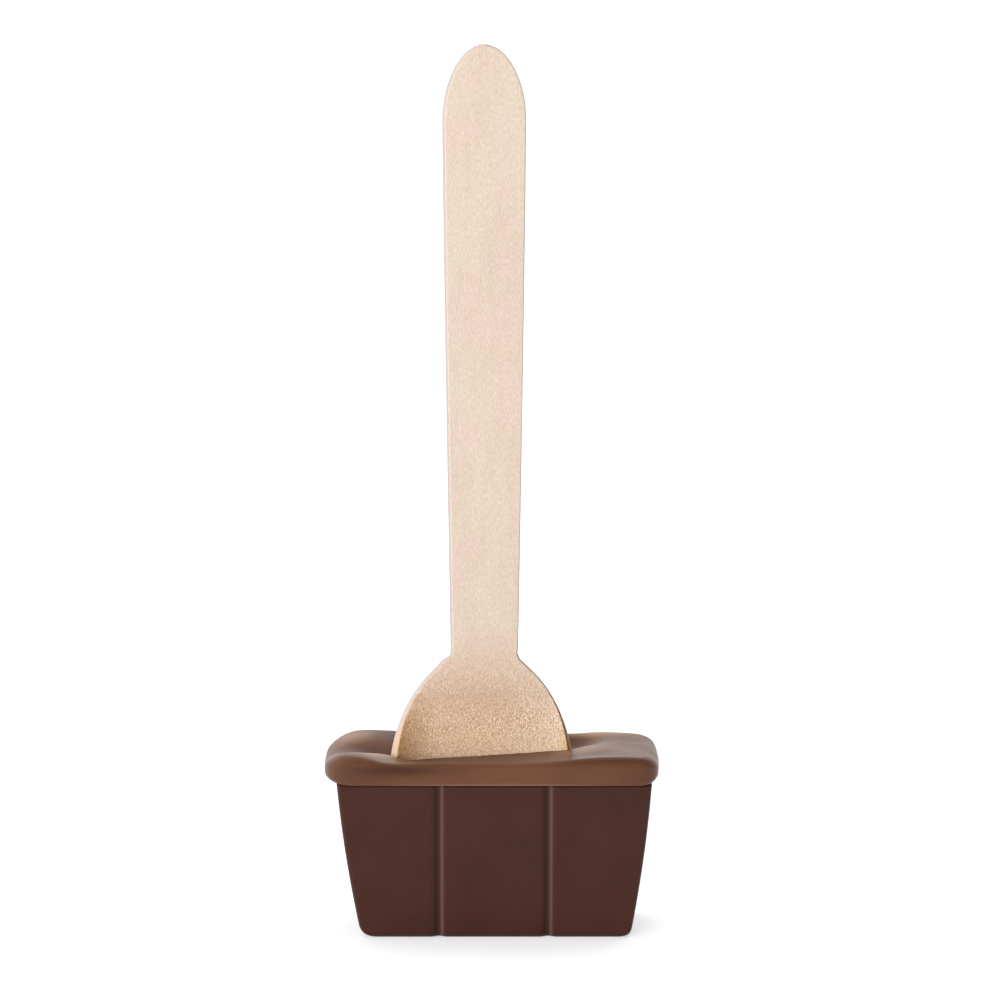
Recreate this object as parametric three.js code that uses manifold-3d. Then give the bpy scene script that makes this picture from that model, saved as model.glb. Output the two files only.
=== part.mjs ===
// Hot chocolate spoon: a pressed wooden spoon standing in a moulded block of dark chocolate,
// with a layer of lighter chocolate poured over the top of the block.
// Millimetres, +Z up. The origin is the middle of the flat base, centred under the top layer.
// The hollow of the spoon's bowl looks towards -Y, which is the front.

import * as THREE from 'three';
import { mergeVertices } from 'three/addons/utils/BufferGeometryUtils.js';
import Module from 'manifold-3d';

const solids = await Module();
solids.setup();

// Block: drafted on all four sides, so it is wider at the top, with moulded score lines
const blockHeight = 28.8;
const blockTopWidth = 57;
const blockBaseWidth = 49.2;
const blockSideBulge = 0.4;
const blockTopDepth = 23.4;
const blockBaseDepth = 20.2;
const blockShift = 0.47;
const blockBaseShift = 0.25;
const blockLeftFoot = 2.8;
const blockRightFoot = 1.9;
const blockEdgeRound = 1;
const roundSteps = 5;

// Score lines: upright round-bottomed channels on the front and the back face
const scoreSpacing = 19.8;
const scoreShift = -0.16;
const scoreRadius = 1.5;
const scoreDepth = 0.7;
const scoreSides = 24;

// Top layer: a pillow that overhangs the block and rolls under at its two ends
const layerWidth = 61;
const layerEndBow = 0.6;
const layerDepth = 26;
const layerThickness = 4.9;
const layerLeftCorner = 6;
const layerRightCorner = 4.2;
const endShoulder = 2.5;
const frontShoulder = 1.4;
const backShoulder = 3.2;
const heelReach = 1.6;
const heelRise = 1.9;
const lipRound = 0.5;
const edgeBand = 3.9;
const outlineSteps = 84;
const topRings = 14;
const shoulderSteps = 5;
const heelSteps = 4;

// Swells and hollows that the spoon left in the poured top, as smooth mounds.
// Each has its centre, its reach along X and Y, and its height, below zero for a hollow.
// A brow of 2 makes it bell-shaped, and a higher brow gives it a flat middle and steep sides.
const swells = [
    { x: -2.3, y: -1, reachX: 18, reachY: 10.5, height: -2.65, brow: 3 },
    { x: -20.5, y: 8, reachX: 9, reachY: 6, height: 0.95, brow: 3 },
    { x: -20.5, y: -0.5, reachX: 6, reachY: 3.8, height: -1.4, brow: 2 },
    { x: -18.5, y: -12.5, reachX: 3.5, reachY: 3, height: -0.45, brow: 2 },
    { x: -19.5, y: -6, reachX: 3.5, reachY: 2.5, height: 0.65, brow: 2 },
    { x: 15.5, y: 6.5, reachX: 3.3, reachY: 3.6, height: -1.5, brow: 2 },
    { x: 18, y: -2, reachX: 4.5, reachY: 5, height: 0.6, brow: 2 },
    { x: 21, y: -12.5, reachX: 9, reachY: 4, height: 0.4, brow: 2 },
    { x: 16, y: 11.5, reachX: 8, reachY: 3, height: 0.6, brow: 2 },
    { x: -25.5, y: -9.5, reachX: 4, reachY: 4, height: 0.8, brow: 2 },
    { x: -30.3, y: 3, reachX: 3.8, reachY: 14, height: -1.4, brow: 2 },
    { x: 30.3, y: 3, reachX: 3.8, reachY: 14, height: -0.5, brow: 2 },
];

// Wooden spoon: a flat blank whose bowl is pressed hollow. The handle's end is an oval whose power
// is a little under 2, so it is slightly pointed.
const spoonLength = 160;
const spoonThickness = 2;
const spoonTipHeight = 1.7;
const spoonX = -1.33;
const spoonY = -0.4;
const spoonTurn = THREE.MathUtils.degToRad(12);
const handleWidth = 15;
const handleEndLength = 13.4;
const handleEndPower = 1.92;
const neckWidth = 12.2;
const neckTaperPower = 1.25;
const bowlWidth = 33.5;
const bowlNearLength = 23.5;
const bowlFarLength = 26.2;
const bowlShoulder = THREE.MathUtils.degToRad(45);
const bowlShift = -0.4;
const bowlLean = -0.3;
const bowlShiftLength = 1.6;
const bowlHollow = 4.6;
const bowlHollowPower = 3;
const bowlCurl = 2.5;
const smallestHalfWidth = 0.7;
const acrossSteps = 14;
const handleEndSteps = 8;
const handleSteps = 10;
const bowlSteps = 26;

const pocketGap = 0.3;
const mergeTolerance = 1e-4;

const bowlMiddle = spoonLength - bowlFarLength;
const shoulderSlope = Math.tan(bowlShoulder);
const neckStation = bowlMiddle - (tangentOffset(0) - neckWidth / 2) / shoulderSlope;

// Solids and back again

function solidOf(geometry) {
    const bare = geometry.clone();
    bare.deleteAttribute('normal');
    bare.deleteAttribute('uv');
    const merged = mergeVertices(bare, mergeTolerance);
    return new solids.Manifold(new solids.Mesh({
        numProp: 3,
        vertProperties: new Float32Array(merged.attributes.position.array),
        triVerts: new Uint32Array(merged.index.array),
    }));
}

function geometryOf(solid) {
    const mesh = solid.getMesh();
    const geometry = new THREE.BufferGeometry();
    geometry.setAttribute('position', new THREE.BufferAttribute(mesh.vertProperties, 3));
    geometry.setIndex(new THREE.BufferAttribute(mesh.triVerts, 1));
    geometry.computeVertexNormals();
    return geometry;
}

function moveVertices(geometry, place) {
    const positions = geometry.attributes.position;
    const point = new THREE.Vector3();
    for (let index = 0; index < positions.count; index += 1) {
        point.fromBufferAttribute(positions, index);
        place(point, index);
        positions.setXYZ(index, point.x, point.y, point.z);
    }
    return geometry;
}

// Wooden spoon

function handleHalfWidth(station, clearance) {
    const toEnd = 1 - (station + clearance) / (handleEndLength + clearance);
    const rounding = 1 - THREE.MathUtils.clamp(toEnd, 0, 1) ** handleEndPower;
    const endHalf = (handleWidth / 2 + clearance) * rounding ** (1 / handleEndPower);
    const along = (station - handleEndLength) / (neckStation - handleEndLength);
    const taper = THREE.MathUtils.clamp(along, 0, 1) ** neckTaperPower;
    return endHalf - (handleWidth - neckWidth) / 2 * taper;
}

// Where the bowl is widest, a tangent with the shoulders' slope is this far off the middle
function tangentOffset(clearance) {
    return Math.hypot(bowlWidth / 2 + clearance, shoulderSlope * (bowlNearLength + clearance));
}

// An oval, carried on at its upper end by two tangents that are the bowl's straight shoulders
function bowlHalfWidth(station, clearance) {
    const above = bowlMiddle - station;
    const halfLength = (above > 0 ? bowlNearLength : bowlFarLength) + clearance;
    const offset = tangentOffset(clearance);
    if (above > shoulderSlope * halfLength ** 2 / offset) {
        return offset - shoulderSlope * above;
    }
    return (bowlWidth / 2 + clearance) * Math.sqrt(Math.max(0, 1 - (above / halfLength) ** 2));
}

function spoonHalfWidth(station, clearance) {
    const handleHalf = station < bowlMiddle ? handleHalfWidth(station, clearance) : 0;
    return Math.max(smallestHalfWidth + clearance, handleHalf, bowlHalfWidth(station, clearance));
}

// Distances from the handle's end at which the spoon has a row of vertices
function spoonStations(clearance) {
    const stations = [-clearance];
    for (let step = 1; step <= handleEndSteps; step += 1) {
        const turn = step / handleEndSteps * Math.PI / 2;
        stations.push((handleEndLength + clearance) * (1 - Math.cos(turn)) - clearance);
    }
    for (let step = 1; step < handleSteps; step += 1) {
        stations.push(THREE.MathUtils.lerp(handleEndLength, neckStation, step / handleSteps));
    }
    const neckTurn = Math.acos((bowlMiddle - neckStation) / bowlNearLength);
    for (let step = 0; step <= bowlSteps; step += 1) {
        const turn = THREE.MathUtils.lerp(neckTurn, Math.PI, step / bowlSteps);
        const reach = turn < Math.PI / 2 ? bowlNearLength : bowlFarLength + clearance;
        stations.push(bowlMiddle - reach * Math.cos(turn));
    }
    return stations;
}

// The bowl's hollow at a station, deepest in the middle of the bowl
function hollowAt(station) {
    const along = THREE.MathUtils.clamp((station - neckStation) / (spoonLength - neckStation), 0, 1);
    return bowlHollow * Math.sin(Math.PI * along) ** bowlHollowPower;
}

// How far the bowl stands off the handle's line at a station, a little more at its upper end
function driftAt(station) {
    const upper = THREE.MathUtils.clamp((bowlMiddle - station) / (bowlMiddle - neckStation), 0, 1);
    const start = neckStation + bowlShift;
    const begun = THREE.MathUtils.smoothstep(station, start, start + bowlShiftLength);
    return (bowlShift + bowlLean * upper) * begun;
}

// A box of rows and columns bent to the spoon's form. Its middle surface runs back by
// hollow * (1 - |across / half width| ^ curl), and its wall stands square on that surface.
function spoonGeometry(clearance) {
    const stations = spoonStations(clearance);
    const box = new THREE.BoxGeometry(1, 1, 1, acrossSteps, 1, stations.length - 1);
    const bent = moveVertices(box, (point) => {
        const station = stations[Math.round((0.5 - point.z) * (stations.length - 1))];
        const wall = Math.sign(point.y) * (spoonThickness / 2 + clearance);
        const across = 2 * point.x * spoonHalfWidth(station, clearance);
        const share = across / spoonHalfWidth(station, 0);
        const hollow = hollowAt(station);
        const slope = -hollow * bowlCurl * Math.sign(share) * Math.abs(share) ** (bowlCurl - 1)
            / spoonHalfWidth(station, 0);
        const slant = Math.hypot(1, slope);
        point.x = across + driftAt(station) - wall * slope / slant;
        point.y = hollow * (1 - Math.abs(share) ** bowlCurl) + wall / slant;
        point.z = spoonTipHeight + spoonLength - station;
    });
    bent.rotateZ(spoonTurn);
    bent.translate(spoonX, spoonY, 0);
    return bent;
}

const spoonPocket = solidOf(spoonGeometry(pocketGap));

// Dark block

// One side of the block's front view, -1 for the left: a drafted line that bows out, down to the
// round foot. The line goes up to a little more height than the block keeps.
function blockSide(side, foot) {
    const base = side * blockBaseWidth / 2 + blockBaseShift;
    const lean = (side * blockTopWidth / 2 - base) / blockHeight;
    const spareTop = blockHeight + blockEdgeRound;
    const middle = (spareTop + foot) / 2;
    return {
        top: new THREE.Vector2(base + lean * spareTop, spareTop),
        bulge: new THREE.Vector2(base + lean * middle + side * 2 * blockSideBulge, middle),
        knee: new THREE.Vector2(base + lean * foot, foot),
        corner: new THREE.Vector2(base, 0),
        floor: new THREE.Vector2(base - side * foot, 0),
    };
}

function blockOutline() {
    const left = blockSide(-1, blockLeftFoot);
    const right = blockSide(1, blockRightFoot);
    const outline = new THREE.Shape();
    outline.moveTo(left.top.x, left.top.y);
    outline.quadraticCurveTo(left.bulge.x, left.bulge.y, left.knee.x, left.knee.y);
    outline.quadraticCurveTo(left.corner.x, left.corner.y, left.floor.x, left.floor.y);
    outline.lineTo(right.floor.x, right.floor.y);
    outline.quadraticCurveTo(right.corner.x, right.corner.y, right.knee.x, right.knee.y);
    outline.quadraticCurveTo(right.bulge.x, right.bulge.y, right.top.x, right.top.y);
    outline.closePath();
    return outline;
}

function scoreLine(side, face) {
    const channel = new THREE.CylinderGeometry(scoreRadius, scoreRadius, 2 * blockHeight, scoreSides);
    channel.rotateX(Math.PI / 2);
    const standOff = scoreRadius - scoreDepth;
    const across = side * scoreSpacing / 2 + scoreShift;
    channel.translate(across, face * (blockTopDepth / 2 + standOff), blockHeight / 2);
    return solidOf(channel);
}

function blockGeometry() {
    const slab = new THREE.ExtrudeGeometry(blockOutline(), {
        depth: blockTopDepth - 2 * blockEdgeRound,
        bevelThickness: blockEdgeRound,
        bevelSize: blockEdgeRound,
        bevelOffset: -blockEdgeRound,
        bevelSegments: roundSteps,
        curveSegments: roundSteps,
    });
    slab.rotateX(Math.PI / 2);
    slab.translate(0, blockTopDepth / 2 - blockEdgeRound, 0);
    const above = new THREE.BoxGeometry(2 * blockTopWidth, 2 * blockTopDepth, blockHeight);
    above.translate(0, 0, 1.5 * blockHeight);
    let block = solidOf(slab).subtract(solidOf(above));
    for (const side of [-1, 1]) {
        for (const face of [-1, 1]) {
            block = block.subtract(scoreLine(side, face));
        }
    }
    const drafted = moveVertices(geometryOf(block), (point) => {
        const height = THREE.MathUtils.clamp(point.z / blockHeight, 0, 1);
        point.y *= THREE.MathUtils.lerp(blockBaseDepth, blockTopDepth, height) / blockTopDepth;
        point.x += blockShift;
    });
    return geometryOf(solidOf(drafted).subtract(spoonPocket));
}

// Top layer

// Plan outline, a rectangle whose left corners are rounder than its right ones
function layerOutline() {
    const halfWidth = layerWidth / 2;
    const halfDepth = layerDepth / 2;
    const outline = new THREE.Shape();
    outline.moveTo(0, -halfDepth);
    outline.lineTo(halfWidth - layerRightCorner, -halfDepth);
    outline.absarc(halfWidth - layerRightCorner, layerRightCorner - halfDepth,
        layerRightCorner, -Math.PI / 2, 0);
    outline.absarc(halfWidth - layerRightCorner, halfDepth - layerRightCorner,
        layerRightCorner, 0, Math.PI / 2);
    outline.absarc(layerLeftCorner - halfWidth, halfDepth - layerLeftCorner,
        layerLeftCorner, Math.PI / 2, Math.PI);
    outline.absarc(layerLeftCorner - halfWidth, layerLeftCorner - halfDepth,
        layerLeftCorner, Math.PI, 1.5 * Math.PI);
    outline.closePath();
    return outline;
}

// The outline's points, evenly spaced, each with the direction that leads square inwards.
// The two ends bow out, so a point nearer a corner stands further in.
function layerRim() {
    const points = layerOutline().getSpacedPoints(outlineSteps);
    return points.map((point, index) => {
        const before = points[(index + outlineSteps - 1) % outlineSteps];
        const after = points[(index + 1) % outlineSteps];
        const along = after.clone().sub(before).normalize();
        const inward = new THREE.Vector2(-along.y, along.x);
        const bow = layerEndBow * (2 * point.y / layerDepth) ** 2 * inward.x ** 2;
        const edge = new THREE.Vector2(point.x + Math.sign(inward.x) * bow, point.y);
        return { edge, inward };
    });
}

// Half section from the middle of the base, round the heel and over the shoulder, to the top
function layerSection(shoulderRound, reach, rise) {
    const half = layerDepth / 2;
    const section = [];
    for (let ring = 0; ring < topRings; ring += 1) {
        section.push(new THREE.Vector2((half - shoulderRound) * ring / topRings, layerThickness));
    }
    const shoulder = new THREE.EllipseCurve(half - shoulderRound, layerThickness - shoulderRound,
        shoulderRound, shoulderRound, Math.PI / 2, 0, true);
    const heel = new THREE.EllipseCurve(half - reach, rise, reach, rise, 0, -Math.PI / 2, true);
    section.push(...shoulder.getPoints(shoulderSteps));
    section.push(...heel.getPoints(heelSteps));
    section.push(new THREE.Vector2(0, 0));
    return section.reverse();
}

const endSection = layerSection(endShoulder, heelReach, heelRise);
const frontSection = layerSection(frontShoulder, lipRound, lipRound);
const backSection = layerSection(backShoulder, lipRound, lipRound);

// The section's point on a side: round a corner the front or the back turns into the end
function sectionPoint(step, inward) {
    const broadSection = inward.y > 0 ? frontSection : backSection;
    return endSection[step].clone().lerp(broadSection[step], inward.y ** 2);
}

// Height of the layer's top above its base, as the sum of the swells on a level surface
function topHeight(x, y) {
    let height = layerThickness;
    for (const swell of swells) {
        const offX = Math.abs(x - swell.x) / swell.reachX;
        const offY = Math.abs(y - swell.y) / swell.reachY;
        height += swell.height * Math.exp(-(offX ** swell.brow) - offY ** swell.brow);
    }
    return height;
}

// The section is turned on a lathe, then its circle is stretched to the plan outline: inside
// the edge band it keeps its true distance from the edge, and further in it shrinks evenly.
function layerGeometry() {
    const rim = layerRim();
    const half = layerDepth / 2;
    const turned = new THREE.LatheGeometry(endSection, outlineSteps);
    const shaped = moveVertices(turned, (point, index) => {
        const { edge, inward } = rim[Math.floor(index / endSection.length) % outlineSteps];
        const { x: radius, y: level } = sectionPoint(index % endSection.length, inward);
        const inset = half - radius;
        const banded = Math.min(inset, edgeBand);
        const shrink = 1 - (inset - banded) / (half - edgeBand);
        point.x = (edge.x + inward.x * banded) * shrink;
        point.y = (edge.y + inward.y * banded) * shrink;
        point.z = blockHeight + level * topHeight(point.x, point.y) / layerThickness;
    });
    return geometryOf(solidOf(shaped).subtract(spoonPocket));
}

// Materials

const birchWood = new THREE.MeshStandardMaterial({ color: 0xe6cfb9, roughness: 0.7, metalness: 0 });
const darkChocolate = new THREE.MeshStandardMaterial({ color: 0x4b312a, roughness: 0.4, metalness: 0 });
const milkChocolate = new THREE.MeshStandardMaterial({ color: 0x74503f, roughness: 0.35, metalness: 0 });

function piece(name, geometry, material) {
    const mesh = new THREE.Mesh(geometry, material);
    mesh.name = name;
    return mesh;
}

const chocolateSpoon = new THREE.Group();
chocolateSpoon.add(
    piece('wooden_spoon', spoonGeometry(0), birchWood),
    piece('chocolate_block', blockGeometry(), darkChocolate),
    piece('chocolate_top_layer', layerGeometry(), milkChocolate),
);

export default chocolateSpoon;
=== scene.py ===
# Hot chocolate spoon: a pressed birch spoon that stands in a moulded block of dark chocolate
# with a layer of lighter chocolate poured over its top. Metres, +Z up, front towards -Y.
import math
from collections import namedtuple

import bpy
import numpy as np
from bpy.props import FloatProperty, FloatVectorProperty, PointerProperty
from bpy.types import Operator, Panel, PropertyGroup
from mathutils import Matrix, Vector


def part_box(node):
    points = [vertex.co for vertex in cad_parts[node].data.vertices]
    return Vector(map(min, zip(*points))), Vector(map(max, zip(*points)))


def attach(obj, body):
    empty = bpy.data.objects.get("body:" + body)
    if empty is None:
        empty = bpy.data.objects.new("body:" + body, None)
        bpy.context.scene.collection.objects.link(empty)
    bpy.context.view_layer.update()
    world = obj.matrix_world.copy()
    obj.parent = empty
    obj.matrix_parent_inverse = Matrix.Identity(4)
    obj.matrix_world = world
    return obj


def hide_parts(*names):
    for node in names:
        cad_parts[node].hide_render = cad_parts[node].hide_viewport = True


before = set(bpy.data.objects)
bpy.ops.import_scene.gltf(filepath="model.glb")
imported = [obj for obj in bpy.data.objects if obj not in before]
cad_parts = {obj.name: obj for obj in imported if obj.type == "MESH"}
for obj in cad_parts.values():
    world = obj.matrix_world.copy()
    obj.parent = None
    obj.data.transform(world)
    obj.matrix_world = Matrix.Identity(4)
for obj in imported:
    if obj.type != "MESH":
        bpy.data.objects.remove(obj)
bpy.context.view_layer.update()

bl_info = {
    "name": "Hot chocolate spoon",
    "version": (1, 0, 0),
    "blender": (4, 5, 0),
    "location": "View3D > Sidebar > Chocolate spoon",
    "description": "Makes a wooden spoon that stands in a block of layered chocolate",
    "category": "Object",
}

MM = 0.001

# Boxes of the carried parts, which the finished pieces keep to
SPOON_LOW, SPOON_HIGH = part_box("wooden_spoon")
BLOCK_LOW, BLOCK_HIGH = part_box("chocolate_block")
LAYER_LOW, LAYER_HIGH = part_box("chocolate_top_layer")

# Swells and hollows of the poured top: centre, reach along X and Y, and height in metres.
# A brow of 2 makes one bell-shaped, and a higher brow gives it a flat middle and steep sides.
Swell = namedtuple("Swell", "x y reach_x reach_y height brow")
SWELLS = (
    Swell(-2.3 * MM, -1 * MM, 18 * MM, 10.5 * MM, -2.65 * MM, 3),
    Swell(-20.5 * MM, 8 * MM, 9 * MM, 6 * MM, 0.95 * MM, 3),
    Swell(-20.5 * MM, -0.5 * MM, 6 * MM, 3.8 * MM, -1.4 * MM, 2),
    Swell(-18.5 * MM, -12.5 * MM, 3.5 * MM, 3 * MM, -0.45 * MM, 2),
    Swell(-19.5 * MM, -6 * MM, 3.5 * MM, 2.5 * MM, 0.65 * MM, 2),
    Swell(15.5 * MM, 6.5 * MM, 3.3 * MM, 3.6 * MM, -1.5 * MM, 2),
    Swell(18 * MM, -2 * MM, 4.5 * MM, 5 * MM, 0.6 * MM, 2),
    Swell(21 * MM, -12.5 * MM, 9 * MM, 4 * MM, 0.4 * MM, 2),
    Swell(16 * MM, 11.5 * MM, 8 * MM, 3 * MM, 0.6 * MM, 2),
    Swell(-25.5 * MM, -9.5 * MM, 4 * MM, 4 * MM, 0.8 * MM, 2),
    Swell(-30.3 * MM, 3 * MM, 3.8 * MM, 14 * MM, -1.4 * MM, 2),
    Swell(30.3 * MM, 3 * MM, 3.8 * MM, 14 * MM, -0.5 * MM, 2),
)

# Soft folds pressed into the layer's front: centre, reach along X and Z, and depth in metres
Fold = namedtuple("Fold", "x z reach_x reach_z depth")
FOLDS = (
    Fold(-15 * MM, 32 * MM, 9 * MM, 0.8 * MM, 0.4 * MM),
    Fold(24 * MM, 33 * MM, 7 * MM, 0.5 * MM, 0.2 * MM),
)

# Painted light and shade on the layer: highlights on crests and the lower lip, shade in hollows and beside
# the spoon. Centre, reach and amount, shade below zero
Tone = namedtuple("Tone", "x y z reach_x reach_y reach_z amount")
TONES = (
    Tone(-20.5 * MM, -6.5 * MM, 33.6 * MM, 5 * MM, 3.5 * MM, 1.5 * MM, 1.0),
    Tone(-15 * MM, -11.5 * MM, 32.8 * MM, 5 * MM, 1.5 * MM, 0.4 * MM, 0.4),
    Tone(-19.5 * MM, 0.5 * MM, 33 * MM, 5 * MM, 2.5 * MM, 2 * MM, -1.0),
    Tone(-26.5 * MM, 7 * MM, 34.5 * MM, 5.5 * MM, 5 * MM, 1.8 * MM, 0.6),
    Tone(-17.5 * MM, 8 * MM, 34.2 * MM, 3.5 * MM, 4 * MM, 1.5 * MM, -0.7),
    Tone(-16 * MM, -13 * MM, 31.9 * MM, 9 * MM, 1.5 * MM, 0.8 * MM, -0.85),
    Tone(0, -13 * MM, 28.95 * MM, 45 * MM, 2 * MM, 0.2 * MM, 0.4),
    Tone(-25 * MM, -13 * MM, 30.5 * MM, 10 * MM, 4 * MM, 3 * MM, -0.5),
    Tone(-15 * MM, -13 * MM, 31 * MM, 5 * MM, 2 * MM, 1.2 * MM, -0.25),
    Tone(-17.9 * MM, 2 * MM, 32.5 * MM, 1 * MM, 4 * MM, 2 * MM, -0.6),
    Tone(15.5 * MM, 6.5 * MM, 32.8 * MM, 3 * MM, 3 * MM, 1.5 * MM, -0.4),
    Tone(14.5 * MM, -10 * MM, 33.2 * MM, 5 * MM, 3 * MM, 1.5 * MM, -0.7),
    Tone(17.5 * MM, -2 * MM, 33.7 * MM, 5 * MM, 4.5 * MM, 1.2 * MM, 0.47),
    Tone(19 * MM, 11 * MM, 34.3 * MM, 8 * MM, 2.5 * MM, 1.4 * MM, 1.2),
    Tone(23.5 * MM, -13 * MM, 33.4 * MM, 7 * MM, 1.5 * MM, 0.5 * MM, -0.75),
    Tone(26 * MM, -13 * MM, 30.8 * MM, 9 * MM, 3 * MM, 2.5 * MM, -0.4),
)


def length_property(name, description, default):
    """A size in metres that the sidebar shows in the scene's own unit."""
    return FloatProperty(name=name, description=description, default=default, min=0.0, unit="LENGTH")


def angle_property(name, description, degrees):
    """An angle that the sidebar shows in degrees."""
    return FloatProperty(
        name=name, description=description, default=math.radians(degrees), subtype="ANGLE"
    )


def number_property(name, description, default, **kind):
    """A number, plain or of the kind that its unit or subtype says."""
    return FloatProperty(name=name, description=description, default=default, **kind)


def colour_property(name, description, default):
    """A linear colour that the sidebar shows as a swatch."""
    return FloatVectorProperty(
        name=name, description=description, default=default, size=3, min=0.0, max=1.0, subtype="COLOR"
    )


class ChocolateSpoonWood(PropertyGroup):
    """Sizes and colours of the wooden spoon."""

    length: length_property("Length", "Handle's end to bowl's tip", SPOON_HIGH.z - SPOON_LOW.z)
    tip_height: length_property("Tip height", "Bowl's tip above the base", SPOON_LOW.z)
    thickness: length_property("Thickness", "Thickness of the pressed blank", 2 * MM)
    handle_width: length_property("Handle width", "Width below the rounded end", 15 * MM)
    handle_end: length_property("Handle end", "Length of the rounded end", 13.4 * MM)
    neck_width: length_property("Neck width", "Width where the bowl begins", 12.2 * MM)
    bowl_width: length_property("Bowl width", "Widest part of the bowl", 33.5 * MM)
    bowl_near: length_property("Bowl near half", "Bowl's middle to the oval's upper end", 23.5 * MM)
    bowl_far: length_property("Bowl far half", "Bowl's middle to its tip", 26.2 * MM)
    bowl_shift: length_property("Bowl shift", "How far the bowl stands to the left", 0.4 * MM)
    bowl_lean: length_property("Bowl lean", "How much further left its upper end stands", 0.3 * MM)
    hollow: length_property("Hollow", "Depth of the bowl", 4.6 * MM)
    edge_round: length_property("Edge round", "Radius of the sanded edges", 0.3 * MM)
    side_offset: length_property("Side offset", "Spoon's middle left of the origin", 1.33 * MM)
    front_offset: length_property("Front offset", "Spoon's rim in front of the block's middle", 0.4 * MM)
    shoulder: angle_property("Shoulder", "Between the bowl's straight shoulders and the handle", 45)
    hollow_power: number_property("Hollow power", "How late the hollow deepens from the neck", 3.0)
    turn: angle_property("Turn", "Turn of the spoon on its own length", 12)
    pale: colour_property("Pale wood", "Colour between the fibres", (0.70, 0.575, 0.475))
    deep: colour_property("Deep wood", "Colour of the fibres", (0.665, 0.54, 0.44))
    blush: colour_property("Blush", "Pinker patches of the handle", (0.712, 0.553, 0.475))
    cream: colour_property("Cream", "Yellower patches of the handle", (0.69, 0.587, 0.468))
    warm: colour_property("Warm wood", "Colour of the bowl's upper part", (0.648, 0.456, 0.331))
    # Painted light: the pressed bowl is brightened against the shade that falls on it near the chocolate
    bowl_painted_light: colour_property("Bowl's painted light", "Colour of the bowl's pressed part", (0.94, 0.68, 0.48))
    # Painted shade on the bowl's left side, which faces away from the light
    left_painted_shade: colour_property("Left painted shade", "Colour of the bowl's left side", (0.465, 0.26, 0.107))
    amber: colour_property("Amber wood", "Colour of the bowl's right foot", (0.78, 0.45, 0.15))
    cut: colour_property("Cut edge", "Colour of the handle's cut edge on the left", (0.515, 0.445, 0.41))
    shoulder_cut: colour_property(
        "Shoulder's cut edge", "Colour of the shoulder's cut edge on the left", (0.60, 0.50, 0.435)
    )
    bowl_cut: colour_property(
        "Bowl's cut edge", "Colour of the bowl's cut edge on the left", (0.72, 0.525, 0.40)
    )
    # Painted shade along the front's right rim, where the rounded edge turns away from the light
    rim: colour_property("Dark rim", "Colour of the rim's painted shade on the right", (0.11, 0.06, 0.025))


class ChocolateSpoonBlock(PropertyGroup):
    """Sizes and colours of the dark block."""

    height: length_property("Height", "Base to the top layer", BLOCK_HIGH.z - BLOCK_LOW.z)
    top_width: length_property("Top width", "Width under the top layer", 57 * MM)
    base_width: length_property("Base width", "Width at the base before its round corners", 49.2 * MM)
    side_bulge: length_property("Side bulge", "How far the sides bow out", 0.4 * MM)
    top_depth: length_property("Top depth", "Depth under the top layer", BLOCK_HIGH.y - BLOCK_LOW.y)
    base_depth: length_property("Base depth", "Depth at the base", 20.2 * MM)
    side_shift: length_property("Side shift", "Block's middle right of the origin", 0.47 * MM)
    base_shift: length_property("Base shift", "Base's middle right of the block's", 0.25 * MM)
    left_foot: length_property("Left foot", "Reach of the round lower left corner", 2.8 * MM)
    right_foot: length_property("Right foot", "Reach of the round lower right corner", 1.9 * MM)
    edge_round: length_property("Edge round", "Radius of the upright and lower edges", 1.0 * MM)
    score_spacing: length_property("Score spacing", "Between the score lines", 19.8 * MM)
    score_shift: length_property("Score shift", "Score lines' middle left of the block's", 0.16 * MM)
    score_reach: length_property("Score reach", "Half width of a score line", 0.85 * MM)
    score_depth: length_property("Score depth", "Depth of a score line", 0.7 * MM)
    pale: colour_property("Pale chocolate", "Lighter part of the clouding", (0.050, 0.0145, 0.0085))
    deep: colour_property("Deep chocolate", "Darker part of the clouding", (0.044, 0.0125, 0.0070))
    # Painted highlight and painted shade for the two sides of each score line
    painted_highlight: colour_property("Groove's painted highlight", "Colour of the score lines' pale side", (0.115, 0.064, 0.052))
    shaded: colour_property("Shaded groove", "Colour of the score lines' dark side", (0.030, 0.008, 0.004))


class ChocolateSpoonLayer(PropertyGroup):
    """Sizes and colours of the poured top layer."""

    base: length_property("Base", "Underside above the floor", LAYER_LOW.z)
    width: length_property("Width", "Width across the overhang", LAYER_HIGH.x - LAYER_LOW.x)
    depth: length_property("Depth", "Depth across the overhang", LAYER_HIGH.y - LAYER_LOW.y)
    thickness: length_property("Thickness", "Thickness where the top is level", 4.9 * MM)
    left_corner: length_property("Left corner", "Radius of the left corners", 6.0 * MM)
    right_corner: length_property("Right corner", "Radius of the right corners", 4.2 * MM)
    shoulder: length_property("Shoulder", "Radius of the upper edge at both ends", 2.5 * MM)
    front_shoulder: length_property("Front shoulder", "Radius of the upper edge in front", 1.4 * MM)
    back_shoulder: length_property("Back shoulder", "Radius of the upper edge behind", 3.2 * MM)
    end_bow: length_property("End bow", "How far both ends bow out in plan", 0.6 * MM)
    heel_reach: length_property("Heel reach", "How far the lower edge rolls in at both ends", 1.6 * MM)
    heel_rise: length_property("Heel rise", "Height of the rolled lower edge at both ends", 1.9 * MM)
    lip: length_property("Lip", "Radius of the lower edge in front and behind", 0.5 * MM)
    edge_band: length_property("Edge band", "Width along the edge that keeps its true shape", 3.9 * MM)
    pale: colour_property("Pale chocolate", "Lighter part of the clouding", (0.131, 0.0515, 0.0232))
    deep: colour_property("Deep chocolate", "Darker part of the clouding", (0.111, 0.0432, 0.0188))
    # Painted highlight on the crests and painted shade in the hollows
    painted_highlight: colour_property("Crest's painted highlight", "Colour of the palest crests", (0.39, 0.242, 0.152))
    shaded: colour_property("Shaded hollow", "Colour of the darkest hollows", (0.060, 0.021, 0.011))


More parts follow.
